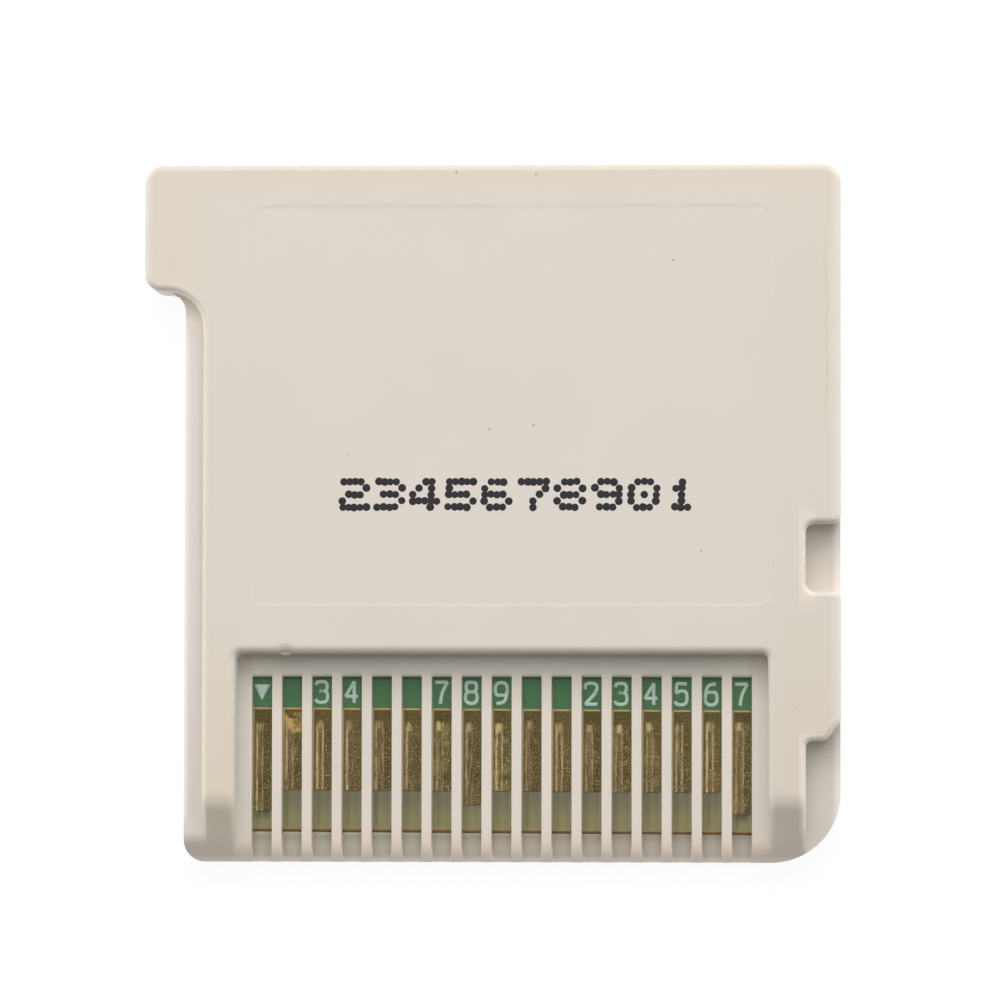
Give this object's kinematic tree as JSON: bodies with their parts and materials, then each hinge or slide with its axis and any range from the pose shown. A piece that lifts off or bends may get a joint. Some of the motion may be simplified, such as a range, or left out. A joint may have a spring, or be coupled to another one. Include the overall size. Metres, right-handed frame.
{
  "type": "game cartridge",
  "caption": "Flat moulded game card for a handheld console, with a key tab, a latch notch and a ribbed recess over gold edge contacts.",
  "frame": {"origin": "middle of the card's bounding box, on the plane it rests on (rim of the label face)", "axes": "+Z out of the contact side, +Y from the contact edge to the grip edge, +X away from the key tab"},
  "size_m": [0.035, 0.035, 0.0038],
  "materials": {
    "shell": "off-white, fine satin texture",
    "laminate": "bare glass fibre laminate",
    "solder_mask": "green film",
    "gold_plate": "worn gold plating",
    "chip_package": "black moulding compound",
    "tinned_leads": "tinned",
    "capacitor_body": "fired ceramic with tinned ends"
  },
  "bodies": {
    "root": {"front_shell": "shell", "rear_shell": "shell", "circuit_board": "laminate", "solder_mask": "solder_mask", "memory_chip": "chip_package", "save_chip": "chip_package", "memory_chip_leads": "tinned_leads", "save_chip_leads": "tinned_leads", "contact_pad_01": "gold_plate", "contact_pad_02": "gold_plate", "contact_pad_03": "gold_plate", "contact_pad_04": "gold_plate", "contact_pad_05": "gold_plate", "contact_pad_06": "gold_plate", "contact_pad_07": "gold_plate", "contact_pad_08": "gold_plate", "contact_pad_09": "gold_plate", "contact_pad_10": "gold_plate", "contact_pad_11": "gold_plate", "contact_pad_12": "gold_plate", "contact_pad_13": "gold_plate", "contact_pad_14": "gold_plate", "contact_pad_15": "gold_plate", "contact_pad_16": "gold_plate", "contact_pad_17": "gold_plate", "capacitor_1": "capacitor_body", "capacitor_2": "capacitor_body", "capacitor_3": "capacitor_body"}
  },
  "joints": []
}
